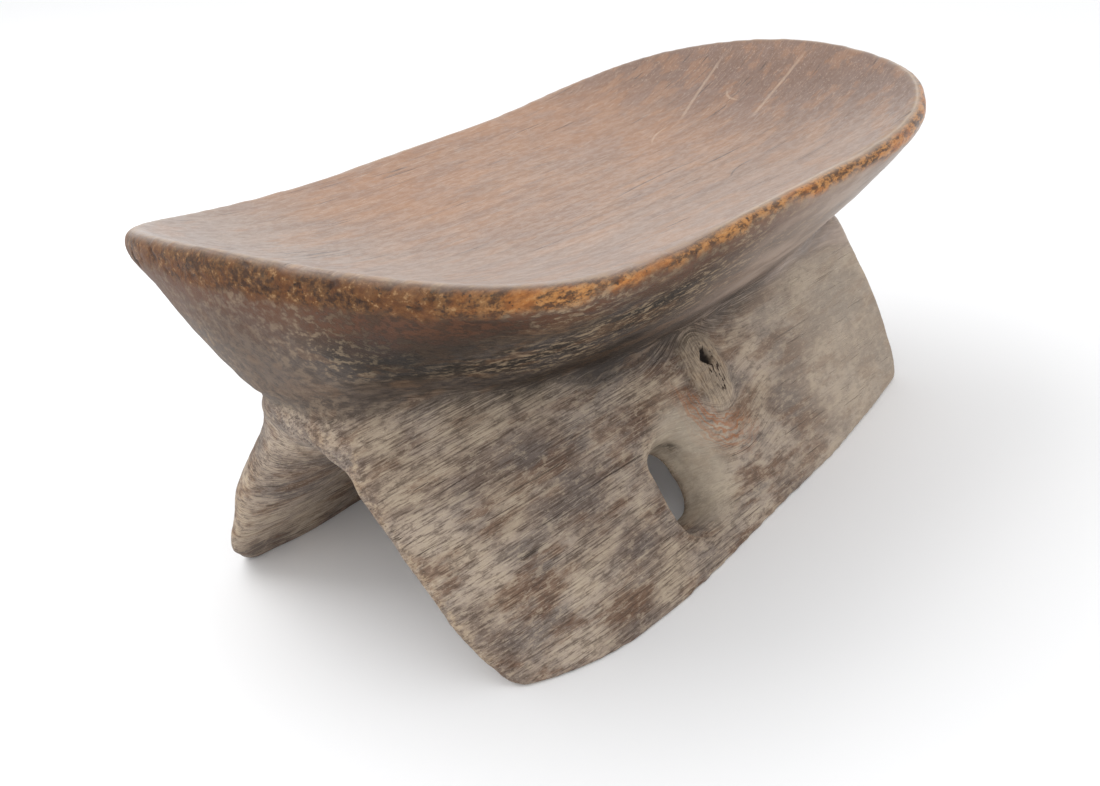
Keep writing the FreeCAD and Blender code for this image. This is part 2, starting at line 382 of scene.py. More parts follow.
# Convex edges, painted pale below as wear and a painted highlight.
rubbed_and_highlit = ramp(-hollowness(points, pairs, 3), 0.012, 0.06)
legs_top = 82 + 30 * ramp(-points[:, 0], 20, 180) + 3 * field(points, (24, 12, 9), 13)
legs = ramp(legs_top - points[:, 2], -3, 9)
# A dark line along the crease under the hull: dirt and painted shade.
crease_line = np.interp(points[:, 0], (-190, -110, 0, 60, 175), (114, 98, 82, 82, 95))
crease = np.exp(-((points[:, 2] - crease_line + 2 * field(points, (30, 9, 7), 14)) / 8.5) ** 2)
crease *= (0.2 + 0.8 * ramp(points[:, 0], -140, -90)) * (1 - 0.5 * ramp(points[:, 0], 60, 110))
across, up, depth = face_place(points, WINDOW_MIDDLE)
# The window's scooped wall is painted lighter: painted light in place of the shade that falls in it.
scoop_light = ramp(-np.hypot((across - 12) / 19, (up - 2) / 26), -1.35, -0.7) * ramp(across + 0.25 * up, -12, -4)
scoop_light *= ramp(-depth, -25, -18) * ramp(-points[:, 1], 40, 50)
across, up, depth = face_place(points, knot_centre)
near_knot = (across / 14.5) ** 2 + (up / 21) ** 2
bend = np.where(points[:, 1] < -20, 1 / (near_knot + 0.35), 0) * ramp(-near_knot, -9, -3)
x, y, z = points.T
lean, flare = (math.sin(LEG_LEAN), math.cos(LEG_LEAN)), (0.7, 0.7)
on_leg = [x + across * bend * 0.2, z * lean[1] - np.abs(y) * lean[0] - up * bend * 0.75,
          0.25 * (np.abs(y) * lean[1] + z * lean[0])]
on_hull = [x, z * flare[1] + np.abs(y) * flare[0], 0.25 * (np.abs(y) * flare[1] - z * flare[0])]
on_seat = [x, y, 0.15 * z]
grain = np.where(on_top > 0.5, on_seat, np.where(legs > 0.5, on_leg, on_hull)).T
knot_map = np.stack([across, up, np.where(on_face > 0.01, 0.0, 500.0)], axis=1)
masks = {"polish": on_top, "gold": gold, "blush": blush, "hollow": hollow, "rubbed_and_highlit": rubbed_and_highlit,
         "legs": legs, "hole": hole, "pit": pits, "near_knot": np.exp(-near_knot) * on_face,
         "scoop_light": scoop_light, "crease": crease}
normals_of(skin, points)
for name, values in masks.items():
    skin.attributes.new(name, "FLOAT", "POINT").data.foreach_set("value", values.astype(np.float32))
for name, values in {"grain": grain, "knot_map": knot_map}.items():
    skin.attributes.new(name, "FLOAT_VECTOR", "POINT").data.foreach_set(
        "vector", (values * MM).ravel().astype(np.float32))
outside_faces = skin.attributes.new("outside", "FLOAT", "FACE")
outside_faces.data.foreach_set("value", np.ones(len(skin.polygons), np.float32))
print("masks:", {name: round(float(values.mean()), 3) for name, values in masks.items()})

# %% [markdown]
# The worked skin is now sawn into its members. Each saw is a closed shape with one
# important face: the underside of the seat plate, the sheet through the crease, or the
# waist's sides. The first two are grids laid onto the CAD members by shooting rays at them.

# %% Saws
SHEET_HALF = (0.23, 0.14)
SHEET_TOP = 0.25
RIM_MARGIN = 0.985
SHEET_END = 5
KNOT_CAP = 2.2 * MM
KNOT_REACH = 8 * MM


def ray_height(tree, x, y, upward):
    start = Vector((x, y, -1.0 if upward else 1.0))
    hit = tree.ray_cast(start, Vector((0, 0, 1 if upward else -1)))[0]
    return None if hit is None else hit.z


def sheet_saw(name, height_at, steps):
    """A closed block whose underside follows height_at(x, y); everything above it is kept."""
    shape = bmesh.new()
    bmesh.ops.create_grid(shape, x_segments=steps[0], y_segments=steps[1], size=1)
    for v in shape.verts:
        x, y = v.co.x * SHEET_HALF[0], v.co.y * SHEET_HALF[1]
        v.co = Vector((x, y, height_at(x, y)))
    top = bmesh.ops.extrude_face_region(shape, geom=list(shape.faces))
    raised = [g for g in top["geom"] if isinstance(g, bmesh.types.BMVert)]
    for v in raised:
        v.co.z = SHEET_TOP
    bmesh.ops.recalc_face_normals(shape, faces=shape.faces)
    mesh = bpy.data.meshes.new(name)
    shape.to_mesh(mesh)
    shape.free()
    saw = new_object(name, mesh)
    saw.hide_render = True
    return saw


plate_tree = BVHTree.FromObject(nodes["seat_plate"], bpy.context.evaluated_depsgraph_get())
waist_tree = BVHTree.FromObject(nodes["waist"], bpy.context.evaluated_depsgraph_get())


def plate_underside(x, y):
    """Height of the plate's underside; past the rim, that of the nearest place inside it."""
    place = np.array([[x / MM, y / MM, 0.0]])
    turn, far = plan_angle(place, seat_centre, seat_half)
    limit = round_the_rim(rim_reach, turn)[0] * RIM_MARGIN
    if far[0] > limit:
        x, y = ((place[0, :2] - seat_centre) * (limit / far[0]) + seat_centre) * MM
    height = ray_height(plate_tree, x, y, True)
    return seat_high[2] * MM if height is None else height


def crease_height(x, y):
    """Height of the waist's top, the same past its ends as just inside them."""
    x = min(max(x, (waist_low[0] + SHEET_END) * MM), (waist_high[0] - SHEET_END) * MM)
    return ray_height(waist_tree, x, (waist_low[1] + waist_high[1]) / 2 * MM, False)


plate_saw = sheet_saw("plate_saw", plate_underside, (120, 72))
crease_saw = sheet_saw("crease_saw", crease_height, (120, 2))


def box_saw(name, low_y, high_y):
    """A box across the whole length and height, between two places from front to back."""
    shape = bmesh.new()
    bmesh.ops.create_cube(shape, size=1)
    bmesh.ops.scale(shape, vec=(0.6, high_y - low_y, 0.4), verts=shape.verts)
    bmesh.ops.translate(shape, vec=(0, (low_y + high_y) / 2, 0.1), verts=shape.verts)
    mesh = bpy.data.meshes.new(name)
    shape.to_mesh(mesh)
    shape.free()
    saw = new_object(name, mesh)
    saw.hide_render = True
    return saw


waist_saw = box_saw("waist_saw", waist_low[1] * MM, waist_high[1] * MM)
front_saw = box_saw("front_saw", -0.2, waist_low[1] * MM)
back_saw = box_saw("back_saw", waist_high[1] * MM, 0.2)
knot_saw = new_object("knot_saw", merged_copy(["branch_knot"]))
knot_saw.hide_render = True
out_of_leg = Vector(-INTO_LEG)
outer = max(v.co.dot(out_of_leg) for v in knot_saw.data.vertices)
for v in knot_saw.data.vertices:
    if v.co.dot(out_of_leg) > outer - KNOT_CAP:
        v.co += out_of_leg * KNOT_REACH
print("saws ready")

# %% [markdown]
# Each member is a copy of the whole block with its saws applied in turn. A saw either
# keeps what is inside it or cuts that away, so two members on either side of a saw's face
# fit each other exactly. The knot's saw is its own CAD shape, drawn out past the face.

# %% Saw the block into its members


def saw_off(source, name, steps):
    """A copy of source, cut by each (operation, saw) in turn."""
    piece = new_object(name, source.data.copy())
    for operation, saw in steps:
        cut = piece.modifiers.new("cut", "BOOLEAN")
        cut.operation = operation
        cut.solver = "MANIFOLD"
        cut.object = saw
    apply_modifiers(piece)
    piece.data.name = name
    return piece


KEEP, CUT = "INTERSECT", "DIFFERENCE"
base_steps = [(CUT, plate_saw), (CUT, crease_saw)]
members = {
    "seat_plate": saw_off(block, "Seat_plate", [(KEEP, plate_saw)]),
    "seat_hull": saw_off(block, "Seat_hull", [(CUT, plate_saw), (KEEP, crease_saw)]),
    "waist": saw_off(block, "Waist", base_steps + [(KEEP, waist_saw)]),
    "front_leg": saw_off(block, "Front_leg", base_steps + [(KEEP, front_saw), (CUT, knot_saw)]),
    "back_leg": saw_off(block, "Back_leg", base_steps + [(KEEP, back_saw)]),
    "branch_knot": saw_off(block, "Branch_knot", base_steps + [(KEEP, front_saw), (KEEP, knot_saw)]),
}
for name, piece in members.items():
    print(name, "faces", len(piece.data.polygons))

# %% [markdown]
# A saw cut leaves new points along its edge, and they have no stain values or shading of
# their own. If they stayed empty, a thin line would show between two members. So each new
# point takes its values, and its shading direction, from the nearest place on the whole
# block. Then light runs over a joint as if it weren't there.

# %% Heal the joints
skin_tree = BVHTree.FromPolygons([v.co for v in skin.vertices], [p.vertices for p in skin.polygons])
skin_normals = normals_of(skin, points)
skin_values = {**masks, "grain": grain * MM, "knot_map": knot_map * MM}


def read(data, field_name, width=1, kind=np.float32):
    values = np.empty(len(data) * width, kind)
    data.foreach_get(field_name, values)
    return values.reshape(-1, width) if width > 1 else values


def heal(piece):
    """Gives the outer points of a member the block's own values and shading directions."""
    mesh = piece.data
    outside = read(mesh.attributes["outside"].data, "value") > 0.5
    loop_point = read(mesh.loops, "vertex_index", kind=np.int32)
    loop_outside = np.repeat(outside, read(mesh.polygons, "loop_total", kind=np.int32))
    shown = np.unique(loop_point[loop_outside])
    corners, weights = [], []
    for index in shown:
        spot, _, face, _ = skin_tree.find_nearest(mesh.vertices[index].co)
        around = skin.polygons[face].vertices
        corners.append(list(around))
        weights.append([1 / ((skin.vertices[i].co - spot).length + 1e-7) for i in around])
    corners, weights = np.array(corners), np.array(weights)
    weights /= weights.sum(axis=1, keepdims=True)
    for name, values in skin_values.items():
        data = mesh.attributes[name].data
        width = 1 if values.ndim == 1 else 3
        word = "value" if width == 1 else "vector"
        held = read(data, word, width)
        if width == 1:
            held[shown] = np.sum(values[corners] * weights, axis=1)
        else:
            held[shown] = np.sum(values[corners] * weights[:, :, None], axis=1)
        data.foreach_set(word, held.ravel())
    directions = np.zeros((len(mesh.vertices), 3))
    directions[shown] = np.sum(skin_normals[corners] * weights[:, :, None], axis=1)
    corner_directions = np.where(loop_outside[:, None], directions[loop_point], 0)
    mesh.shade_smooth()
    mesh.set_sharp_from_angle(angle=math.radians(50))
    mesh.normals_split_custom_set(corner_directions.tolist())
    return len(shown)


for name, piece in members.items():
    print(name, "outer points healed:", heal(piece))
for spare in (block, plate_saw, crease_saw, waist_saw, front_saw, back_saw, knot_saw):
    bpy.data.objects.remove(spare)

# %% [markdown]
# The finishes are built from shader nodes. A few helpers keep that short: one adds a node
# and links its inputs, and the others make the kinds of node that are used most, such as
# noise, a smooth step between two limits, or a blend of two colours.

# %% Node helpers


def new_group(name, inputs, outputs):
    """A shader node group with named sockets; returns it and its input and output nodes."""
    group = bpy.data.node_groups.new(name, "ShaderNodeTree")
    for socket, kind, default in inputs:
        made = group.interface.new_socket(socket, in_out="INPUT", socket_type=kind)
        made.default_value = default
    for socket, kind in outputs:
        group.interface.new_socket(socket, in_out="OUTPUT", socket_type=kind)
    return group, group.nodes.new("NodeGroupInput"), group.nodes.new("NodeGroupOutput")


def add(tree, kind, links=None, **settings):
    """A node with its settings; links names an input and gives a value or the socket that feeds it."""
    node = tree.nodes.new(kind)
    for key, value in settings.items():
        setattr(node, key, value)
    for key, value in (links or {}).items():
        if isinstance(value, bpy.types.NodeSocket):
            tree.links.new(value, node.inputs[key])
        else:
            node.inputs[key].default_value = value
    return node


def stretch(tree, vector, scale):
    return add(tree, "ShaderNodeVectorMath", {0: vector, 1: scale}, operation="MULTIPLY").outputs[0]


def noise(tree, vector, scale, detail=3.0, rough=0.55):
    made = add(tree, "ShaderNodeTexNoise",
               {"Vector": vector, "Scale": scale, "Detail": detail, "Roughness": rough})
    return made.outputs["Fac"]


def spread(tree, value, low, high, out_low=0.0, out_high=1.0):
    """Maps low..high to out_low..out_high with smooth ends."""
    made = add(tree, "ShaderNodeMapRange", {"Value": value, "From Min": low, "From Max": high,
                                            "To Min": out_low, "To Max": out_high},
               interpolation_type="SMOOTHSTEP")
    return made.outputs[0]


def maths(tree, operation, a, b=0.5):
    return add(tree, "ShaderNodeMath", {0: a, 1: b}, operation=operation).outputs[0]


def times(tree, a, b):
    return maths(tree, "MULTIPLY", a, b)


def blend_colour(tree, factor, a, b):
    made = add(tree, "ShaderNodeMix", data_type="RGBA")
    for socket, value in ((made.inputs[0], factor), (made.inputs[6], a), (made.inputs[7], b)):
        if isinstance(value, bpy.types.NodeSocket):
            tree.links.new(value, socket)
        else:
            socket.default_value = value
    return made.outputs[2]


def painted(tree, name, kind="Fac"):
    return add(tree, "ShaderNodeAttribute", attribute_name=name).outputs[kind]


def rgb(red, green, blue):
    """A linear colour from the everyday 0 to 255 scale."""
    def linear(v):
        v /= 255
        return v / 12.92 if v < 0.04045 else ((v + 0.055) / 1.055) ** 2.4
    return (linear(red), linear(green), linear(blue), 1.0)


# %% [markdown]
# Every piece takes its stain from the same few effects, so each effect is a node group.
# The first is wood grain: thin streaks, long in the direction of the grain. Stretching the
# pattern's space is what turns round noise into streaks, and the stored grain direction
# makes the streaks bend round the knot.

# %% Grain group


def build_grain():
    tree, given, out = new_group("Grain", [("Vector", "NodeSocketVector", (0, 0, 0))],
                                 [("Streaks", "NodeSocketFloat"), ("Fibres", "NodeSocketFloat"),
                                  ("Pores", "NodeSocketFloat"), ("Cracks", "NodeSocketFloat")])
    place = given.outputs["Vector"]
    streaks = noise(tree, stretch(tree, place, (5, 60, 60)), 2.2, 4.0)
    fibres = noise(tree, stretch(tree, place, (16, 560, 560)), 2.6, 4.0, 0.66)
    pores = noise(tree, stretch(tree, place, (35, 420, 420)), 2.4, 2.0, 0.5)
    lines = noise(tree, stretch(tree, place, (13, 620, 620)), 1.5, 1.0, 0.4)
    where = spread(tree, noise(tree, stretch(tree, place, (14, 30, 30)), 1.6, 1.0), 0.42, 0.56)
    cracks = times(tree, spread(tree, lines, 0.68, 0.73), where)
    for socket, value in (("Streaks", streaks), ("Fibres", fibres), ("Cracks", cracks)):
        tree.links.new(value, out.inputs[socket])
    tree.links.new(spread(tree, pores, 0.60, 0.70), out.inputs["Pores"])
    return tree


GRAIN = build_grain()
print("grain sockets:", [item.name for item in GRAIN.interface.items_tree])

# %% [markdown]
# The second effect is age: blotches of stain, small specks of dirt, and pale scratches.
# The scratches are long thin lines at a slant, one line wherever a strongly stretched
# noise rises highest.

# %% Age group


def build_age():
    tree, given, out = new_group("Age", [("Vector", "NodeSocketVector", (0, 0, 0))],
                                 [("Blotches", "NodeSocketFloat"), ("Patches", "NodeSocketFloat"),
                                  ("Specks", "NodeSocketFloat"), ("Scratches", "NodeSocketFloat"),
                                  ("Mottle", "NodeSocketFloat"), ("Stain", "NodeSocketFloat"),
                                  ("Rust", "NodeSocketFloat")])
    place = given.outputs["Vector"]
    stain = noise(tree, stretch(tree, place, (26, 48, 48)), 1.0, 5.0, 0.56)
    rust = noise(tree, stretch(tree, place, (24, 85, 85)), 1.2, 5.0, 0.6)
    blotches = noise(tree, stretch(tree, place, (12, 20, 20)), 1.7, 4.0, 0.6)
    patches = noise(tree, stretch(tree, place, (6, 11, 11)), 1.3, 2.0, 0.5)
    mottle = noise(tree, stretch(tree, place, (110, 230, 230)), 1.5, 5.0, 0.68)
    specks = spread(tree, noise(tree, place, 520.0, 2.0, 0.6), 0.62, 0.70)
    scratches = None
    for turn, long_way in ((0.0, 22.0), (0.5, 34.0), (-0.35, 30.0)):
        turned = add(tree, "ShaderNodeVectorRotate", {"Vector": place, "Angle": turn}, rotation_type="X_AXIS")
        turned = add(tree, "ShaderNodeVectorRotate", {"Vector": turned.outputs[0], "Angle": turn * 0.6},
                     rotation_type="Z_AXIS")
        line = noise(tree, stretch(tree, turned.outputs[0], (long_way, 1300, 1300)), 1.0, 1.0, 0.4)
        mark = spread(tree, line, 0.66, 0.74)
        scratches = mark if scratches is None else maths(tree, "MAXIMUM", scratches, mark)
    for socket, value in (("Blotches", blotches), ("Patches", patches), ("Specks", specks),
                          ("Scratches", scratches), ("Mottle", mottle), ("Stain", stain), ("Rust", rust)):
        tree.links.new(value, out.inputs[socket])
    return tree


AGE = build_age()
print("age sockets:", [item.name for item in AGE.interface.items_tree])

# %% [markdown]
# The third effect belongs to the knot. The points round it carry a small map: how far
# across and how far up the slope they are from the knot's middle. From that map come the
# upright fibres of the stub, the small drying cracks below its hole, the rings of wood
# that squeeze past it, and the orange streaks where the bark was rubbed away below it.

# %% Knot group


def build_knot_marks():
    group, given, out = new_group("Knot marks", [("Map", "NodeSocketVector", (0, 0, 0))],
                                  [("Fibres", "NodeSocketFloat"), ("Cracks", "NodeSocketFloat"),
                                   ("Rings", "NodeSocketFloat"), ("Flames", "NodeSocketFloat"),
                                   ("Body", "NodeSocketFloat")])
    tree = group
    place = given.outputs["Map"]
    axes = add(tree, "ShaderNodeSeparateXYZ", {0: place}).outputs
    wobble = times(tree, maths(tree, "SUBTRACT", noise(tree, place, 130.0, 3.0), 0.5), 0.5)
    across = maths(tree, "DIVIDE", axes["X"], 0.0145)
    up = maths(tree, "DIVIDE", axes["Y"], 0.021)
    squares = maths(tree, "ADD", maths(tree, "POWER", across, 2.0), maths(tree, "POWER", up, 2.0))
    reach = maths(tree, "ADD", maths(tree, "SQRT", squares), wobble)
    turn = maths(tree, "ARCTAN2", up, across)
    polar = add(tree, "ShaderNodeCombineXYZ", {"X": times(tree, reach, 13.0), "Y": turn}).outputs[0]
    rings = noise(tree, polar, 1.0, 4.0, 0.65)
    ring_place = times(tree, spread(tree, reach, 0.75, 1.05), spread(tree, reach, 1.15, 1.9, 1, 0))
    fibres = noise(tree, stretch(tree, place, (1.0, 0.14, 1.0)), 1100.0, 3.0, 0.6)
    body = spread(tree, reach, 0.7, 1.2, 1.0, 0.0)
    zone_across = maths(tree, "DIVIDE", maths(tree, "SUBTRACT", axes["X"], 0.0035), 0.0048)
    zone_up = maths(tree, "DIVIDE", maths(tree, "ADD", axes["Y"], 0.001), 0.0125)
    zone = maths(tree, "ADD", maths(tree, "POWER", zone_across, 2.0), maths(tree, "POWER", zone_up, 2.0))
    splits = noise(tree, stretch(tree, place, (1.0, 0.4, 1.0)), 520.0, 2.0, 0.5)
    cracks = times(tree, spread(tree, splits, 0.56, 0.62), spread(tree, zone, 0.7, 1.3, 1, 0))
    low_left = spread(tree, maths(tree, "ADD", times(tree, across, 0.55), up), -1.25, -0.7, 1.0, 0.0)
    flame_band = times(tree, spread(tree, reach, 0.95, 1.1), spread(tree, reach, 1.5, 2.3, 1, 0))
    flames = times(tree, spread(tree, rings, 0.43, 0.6), times(tree, low_left, flame_band))
    for socket, value in (("Fibres", fibres), ("Cracks", cracks), ("Flames", flames), ("Body", body),
                          ("Rings", times(tree, rings, ring_place))):
        tree.links.new(value, out.inputs[socket])
    return group


KNOT_MARKS = build_knot_marks()
print("knot sockets:", [item.name for item in KNOT_MARKS.interface.items_tree])

# %% [markdown]
# Now the wood itself. All four finishes come from one recipe, because on the real block
# they fade into one another. Each part of the recipe starts from a plain wood colour and
# lays stains over it in turn, as years of smoke, grease and handling did.

# %% Helpers for layered stains


def group_node(tree, group, links):
    return add(tree, "ShaderNodeGroup", links, node_tree=group)


def layered(tree, base, layers):
    """Lays each (amount, colour) over the base in turn."""
    for amount, colour in layers:
        base = blend_colour(tree, amount, base, colour)
    return base


# %% [markdown]
# The seat was polished by heads and hands. It is warm brown in the middle and darker at the right end.
# Its left end and its front are painted paler as a painted sheen. A pale line along its edge by the rim,
# right of the middle, is a painted highlight. A few pale scratches and two dark cracks cross it. Each is a
# thin bowed line, and its amount comes from how far aside of the line a place lies.

# %% Seat colours
# Each mark is its start and its end, as (x, y), and its width, all in metres.
PALE_SCRATCHES = [((0.116, 0.0225), (0.190, 0.0400), 0.0011), ((0.128, -0.0125), (0.197, -0.0085), 0.0012),
                  ((0.149, 0.006), (0.159, 0.020), 0.0010), ((0.084, 0.016), (0.112, 0.024), 0.0008)]
DARK_CRACKS = [((-0.004, -0.0255), (0.076, -0.0245), 0.0006), ((0.040, -0.060), (0.076, -0.052), 0.0006)]
MARK_BOW = 0.0034


def scored_line(tree, axes, start, end, width):
    """1 on a line from start to end, fading at both ends."""
    length = math.hypot(end[0] - start[0], end[1] - start[1])
    ahead = ((end[0] - start[0]) / length, (end[1] - start[1]) / length)
    x = maths(tree, "SUBTRACT", axes["X"], start[0])
    y = maths(tree, "SUBTRACT", axes["Y"], start[1])
    along = maths(tree, "ADD", times(tree, x, ahead[0]), times(tree, y, ahead[1]))
    aside = maths(tree, "SUBTRACT", times(tree, y, ahead[0]), times(tree, x, ahead[1]))
    bow = times(tree, maths(tree, "SINE", times(tree, along, 3.0 / length)), MARK_BOW)
    off = maths(tree, "ABSOLUTE", maths(tree, "SUBTRACT", aside, bow))
    line = spread(tree, off, width * 0.4, width, 1.0, 0.0)
    inside_ends = times(tree, spread(tree, along, 0.0, length * 0.2),
                        spread(tree, along, length * 0.75, length, 1.0, 0.0))
    return times(tree, line, inside_ends)


def seat_colour(tree, grain, age, axes):
    wood = blend_colour(tree, spread(tree, grain["Streaks"], 0.35, 0.68), rgb(128, 96, 74), rgb(152, 118, 94))
    back_middle = times(tree, spread(tree, axes["X"], -0.14, -0.02), spread(tree, axes["Y"], -0.07, 0.05))
    warm = times(tree, back_middle, spread(tree, age["Patches"], 0.36, 0.6, 0.3, 0.8))
    # Painted highlight: a pale line where the seat meets the rim, right of the middle, in place of the
    # reflection there.
    crest = times(tree, spread(tree, painted(tree, "polish"), 0.75, 1.0, 0.55, 0),
                  spread(tree, axes["X"], -0.06, -0.02))
    # Stains and wear, plus two pale greys that paint the sheen at the left end and at the front.
    wear_and_sheen = [
        (warm, rgb(152, 104, 66)),
        (spread(tree, axes["X"], -0.17, -0.05, 0.7, 0.0), rgb(156, 140, 130)),  # painted sheen: paler towards the left end
        (spread(tree, axes["Y"], -0.1, -0.03, 0.45, 0.0), rgb(160, 140, 128)),  # painted sheen: paler at the front
        (spread(tree, axes["X"], 0.09, 0.17, 0.0, 0.75), rgb(104, 80, 68)),  # dark right end
        (spread(tree, age["Stain"], 0.5, 0.58, 0, 0.3), rgb(122, 96, 84)),
        (spread(tree, age["Rust"], 0.51, 0.6, 0, 0.3), rgb(168, 120, 80)),
        (spread(tree, grain["Fibres"], 0.34, 0.46, 0.3, 0), rgb(92, 62, 44)),
        (spread(tree, grain["Fibres"], 0.56, 0.68, 0, 0.25), rgb(190, 160, 136)),
        (times(tree, grain["Cracks"], 0.8), rgb(50, 32, 24)),
        (times(tree, age["Scratches"], 0.25), rgb(206, 186, 168)),
    ]
    scratches = [(times(tree, scored_line(tree, axes, *mark), 0.3), rgb(206, 180, 156))
                 for mark in PALE_SCRATCHES]
    cracks = [(times(tree, scored_line(tree, axes, *mark), 0.8), rgb(70, 46, 34)) for mark in DARK_CRACKS]
    return layered(tree, wood, wear_and_sheen + scratches + [(crest, rgb(206, 190, 172))] + cracks)


print("marks on the seat:", len(PALE_SCRATCHES) + len(DARK_CRACKS))

# %% [markdown]
# Hands wear the rim first. There the dark skin of the wood is rubbed through to gold, and
# small bites along the grain stay dark. At the left end, where the end grain soaks up
# grease, the band is nearly brown.

# %% Rim colours


def rim_colour(tree, age, axes, place):
    bite = noise(tree, stretch(tree, place, (170, 420, 420)), 1.0, 5.0, 0.7)
    gold = blend_colour(tree, spread(tree, bite, 0.42, 0.57), rgb(84, 52, 26), rgb(186, 128, 68))
    return layered(tree, gold, [
        (spread(tree, age["Rust"], 0.47, 0.56, 0, 0.5), rgb(198, 118, 44)),
        (spread(tree, axes["X"], -0.185, -0.12, 0.78, 0.0), rgb(52, 29, 14)),  # greasy left end
        (spread(tree, bite, 0.58, 0.66, 0, 0.4), rgb(196, 158, 112)),
        (times(tree, age["Specks"], 0.8), rgb(30, 18, 11)),
        (painted(tree, "pit"), rgb(46, 27, 17)),
    ])


# %% [markdown]
# The hull is the dark part. Smoke settled under the rim, so it is nearly black with grey
# stains, and paler flecks show where the old skin flaked. The end face at the left is painted paler as a
# painted reflection, and the corner beside it is the darkest place. The right end is smooth and pale, partly
# its own colour and partly a painted sheen.

# %% Hull colours


def hull_colour(tree, grain, age, axes):
    smoked = blend_colour(tree, spread(tree, age["Blotches"], 0.40, 0.58), rgb(34, 27, 22), rgb(72, 58, 47))
    flakes = times(tree, spread(tree, age["Mottle"], 0.51, 0.60, 0, 0.75),
                   spread(tree, age["Patches"], 0.42, 0.56, 0.15, 1.0))
    # Painted reflection: the left end face is painted paler and greyer.
    left_face_sheen = times(tree, spread(tree, axes["X"], -0.19, -0.09, 0.6, 0.0),
                      spread(tree, axes["Y"], -0.06, -0.03))
    left_face_sheen = times(tree, left_face_sheen, spread(tree, age["Mottle"], 0.4, 0.56, 0.6, 1.0))
    front_left = times(tree, spread(tree, axes["X"], -0.165, -0.135, 0.72, 0),
                       spread(tree, axes["Y"], -0.065, -0.04, 1, 0))
    rusty = times(tree, painted(tree, "blush"), spread(tree, age["Mottle"], 0.42, 0.56, 0.8, 0.3))
    # Pale right end: partly the wood's own colour and partly a painted sheen.
    right_end = times(tree, spread(tree, axes["X"], -0.05, 0.06, 0.0, 0.85),
                      spread(tree, age["Stain"], 0.4, 0.6, 1.0, 0.65))
    return layered(tree, smoked, [
        (spread(tree, age["Stain"], 0.48, 0.58, 0, 0.7), rgb(74, 67, 64)),
        (spread(tree, age["Rust"], 0.52, 0.60, 0, 0.5), rgb(112, 82, 56)),
        (flakes, rgb(160, 140, 114)),
        (spread(tree, age["Mottle"], 0.40, 0.48, 0.5, 0), rgb(26, 20, 16)),
        (spread(tree, grain["Fibres"], 0.54, 0.64, 0, 0.35), rgb(116, 97, 77)),
        (left_face_sheen, rgb(120, 104, 92)),
        (front_left, rgb(26, 21, 18)),
        (rusty, rgb(96, 58, 34)),
        (right_end, rgb(184, 164, 150)),
    ])


# %% [markdown]
# The legs were never oiled. Their wood dried to a grey tan, and fine dark fibres run along
# it, clear on the left and faint on the right. Large soft stains of grey and rust lie
# under the fibres. The wood squeezed round the knot has dark rings and orange streaks.

# %% Leg and knot colours


def leg_colour(tree, grain, age, knot, axes):
    dry = blend_colour(tree, spread(tree, age["Blotches"], 0.38, 0.60), rgb(124, 107, 95), rgb(172, 156, 141))
    lined = spread(tree, axes["X"], -0.03, 0.06, 1.0, 0.35)
    rusty = times(tree, spread(tree, age["Rust"], 0.48, 0.63, 0, 0.75),
                  spread(tree, axes["Z"], 0.03, 0.09, 1, 0.7))
    rings = times(tree, painted(tree, "near_knot"), spread(tree, knot["Rings"], 0.5, 0.6, 0, 0.7))
    return layered(tree, dry, [
        (spread(tree, age["Stain"], 0.46, 0.62, 0, 0.7), rgb(106, 97, 93)),
        (spread(tree, age["Stain"], 0.35, 0.50, 0.6, 0), rgb(188, 170, 148)),
        (rusty, rgb(108, 78, 58)),
        (times(tree, spread(tree, grain["Fibres"], 0.38, 0.50, 0.62, 0), lined), rgb(66, 50, 39)),
        (times(tree, spread(tree, grain["Fibres"], 0.54, 0.65, 0, 0.45), lined), rgb(192, 175, 152)),
        (spread(tree, age["Mottle"], 0.52, 0.64, 0, 0.4), rgb(190, 174, 152)),
        (spread(tree, age["Mottle"], 0.38, 0.48, 0.45, 0), rgb(78, 63, 52)),
        (times(tree, grain["Cracks"], 0.65), rgb(46, 35, 27)),
        (spread(tree, axes["X"], 0.03, 0.13, 0.0, 0.5), rgb(188, 173, 156)),  # paler towards the right end
        (times(tree, age["Scratches"], 0.2), rgb(206, 192, 174)),
        # painted light: the scooped wall of the window made paler
        (times(tree, painted(tree, "scoop_light"), 0.6), rgb(190, 177, 158)),
        (rings, rgb(84, 66, 50)),
        (times(tree, knot["Flames"], 0.6), rgb(166, 100, 50)),
    ])


def knot_colour(tree, knot, leg):
    stub = blend_colour(tree, spread(tree, knot["Fibres"], 0.36, 0.62), rgb(118, 100, 80), rgb(186, 168, 144))
    wood = blend_colour(tree, times(tree, knot["Body"], 0.55), leg, stub)
    return blend_colour(tree, knot["Cracks"], wood, rgb(50, 34, 24))


# %% [markdown]
# The painted masks say where each colour rules. The hollows and the crease under the hull are
# darkened as dirt and painted shade, and convex edges turn pale as wear and a painted highlight. The
# knot's hole and the foot's pit are painted nearly black as painted shade. The gloss follows the hands too:
# a soft clear coat lies on the seat and the right end of the hull, and the legs stay matt. The grain is
# also raised a little, by a bump about half a millimetre deep that is nearly gone on the polished seat.

# %% Wood finishes
RELIEF_DRY, RELIEF_POLISHED = 0.8, 0.2
BUMP_STRENGTH, BUMP_DEPTH = 0.6, 0.0006


